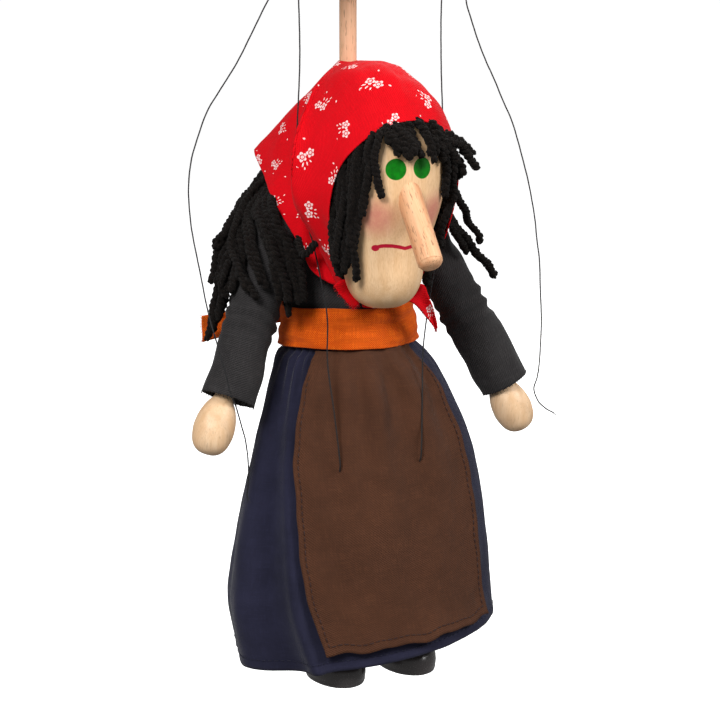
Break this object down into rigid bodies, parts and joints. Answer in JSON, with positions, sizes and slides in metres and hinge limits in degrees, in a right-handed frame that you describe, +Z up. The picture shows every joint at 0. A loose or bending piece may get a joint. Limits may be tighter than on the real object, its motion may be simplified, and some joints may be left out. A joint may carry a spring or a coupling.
{
  "type": "marionette puppet",
  "caption": "Wooden witch marionette with jointed arms and legs, cloth dress and headscarf, hanging by a rod and strings from a crossbar control.",
  "frame": {"origin": "middle of the flat top of the control beam, which a hand or a hook holds; everything else hangs below it", "axes": "+Z up along the rod; the puppet faces -Y; +X is to the puppet's left"},
  "size_m": [0.1846, 0.1379, 0.361],
  "materials": {
    "control_wood": "sanded, clear matt",
    "rod_wood": "plain sanded beech",
    "face_wood": "turned and waxed, painted eyes, mouth and cheeks",
    "nose_wood": "plain sanded beech dowel",
    "screw_brass": "brushed",
    "pin_steel": "plain wire",
    "shoe_paint": "black satin paint on turned wood",
    "skirt_cloth": "woven navy cotton",
    "apron_cloth": "brown cotton twill",
    "sash_cloth": "loosely woven orange cotton",
    "blouse_cloth": "woven black cotton",
    "kerchief_cloth": "printed red cotton",
    "hair_wool": "thick twisted black yarn",
    "string_thread": "thin braided black thread"
  },
  "bodies": {
    "puppet": {"control_beam": "control_wood", "knee_bar": "control_wood", "knee_bar_screw": "screw_brass", "hand_bar": "control_wood", "hand_bar_screw": "screw_brass", "main_rod": "rod_wood", "torso": "rod_wood", "hip_pin": "pin_steel", "head": "face_wood", "neck_peg": "rod_wood", "nose": "nose_wood", "shoulder_pin_right": "pin_steel", "shoulder_pin_left": "pin_steel", "skirt": "skirt_cloth", "apron": "apron_cloth", "sash": "sash_cloth", "sash_knot": "sash_cloth", "sash_end_right": "sash_cloth", "sash_end_left": "sash_cloth", "blouse": "blouse_cloth", "kerchief": "kerchief_cloth", "kerchief_knot": "kerchief_cloth", "kerchief_tail_right": "kerchief_cloth", "kerchief_tail_left": "kerchief_cloth", "hair_fringe": "hair_wool", "hair_right": "hair_wool", "hair_left": "hair_wool", "hair_back": "hair_wool", "hair_nape": "hair_wool", "hair_shoulder": "hair_wool", "hand_string_right": "string_thread", "hand_string_left": "string_thread", "knee_string_right": "string_thread", "knee_string_left": "string_thread", "hand_knot_right": "string_thread", "hand_knot_left": "string_thread", "knee_knot_right": "string_thread", "knee_knot_left": "string_thread"},
    "right_arm": {"arm_right": "rod_wood", "sleeve_right": "blouse_cloth", "wrist_pin_right": "pin_steel"},
    "right_hand": {"hand_right": "face_wood"},
    "right_thigh": {"thigh_right": "rod_wood", "knee_pin_right": "pin_steel"},
    "right_shin": {"shin_right": "rod_wood", "shoe_right": "shoe_paint"},
    "left_arm": {"arm_left": "rod_wood", "sleeve_left": "blouse_cloth", "wrist_pin_left": "pin_steel"},
    "left_hand": {"hand_left": "face_wood"},
    "left_thigh": {"thigh_left": "rod_wood", "knee_pin_left": "pin_steel"},
    "left_shin": {"shin_left": "rod_wood", "shoe_left": "shoe_paint"}
  },
  "joints": [
    {"name": "right_shoulder", "type": "hinge", "parent": "puppet", "child": "right_arm", "pos_m": [-0.038, -0.001, -0.1485], "axis": [-0.9659, 0.2588, 0], "range_deg": [0, 75], "deforming": ["hand_string_right"]},
    {"name": "right_wrist", "type": "hinge", "parent": "right_arm", "child": "right_hand", "pos_m": [-0.06912, -0.01457, -0.21545], "axis": [1, 0, 0], "range_deg": [-15, 15]},
    {"name": "right_hip", "type": "hinge", "parent": "puppet", "child": "right_thigh", "pos_m": [-0.019, 0, -0.211], "axis": [-1, 0, 0], "range_deg": [-6, 4], "deforming": ["knee_string_right"]},
    {"name": "right_knee", "type": "hinge", "parent": "right_thigh", "child": "right_shin", "pos_m": [-0.019, -0.022, -0.263], "axis": [1, 0, 0], "range_deg": [-4, 22]},
    {"name": "left_shoulder", "type": "hinge", "parent": "puppet", "child": "left_arm", "pos_m": [0.038, -0.001, -0.1535], "axis": [-0.9659, -0.2588, 0], "range_deg": [0, 75], "deforming": ["hand_string_left"]},
    {"name": "left_wrist", "type": "hinge", "parent": "left_arm", "child": "left_hand", "pos_m": [0.07108, -0.01465, -0.22215], "axis": [1, 0, 0], "range_deg": [-15, 15]},
    {"name": "left_hip", "type": "hinge", "parent": "puppet", "child": "left_thigh", "pos_m": [0.019, 0, -0.211], "axis": [-1, 0, 0], "range_deg": [-6, 4], "deforming": ["knee_string_left"]},
    {"name": "left_knee", "type": "hinge", "parent": "left_thigh", "child": "left_shin", "pos_m": [0.019, -0.022, -0.263], "axis": [1, 0, 0], "range_deg": [-4, 22]}
  ]
}
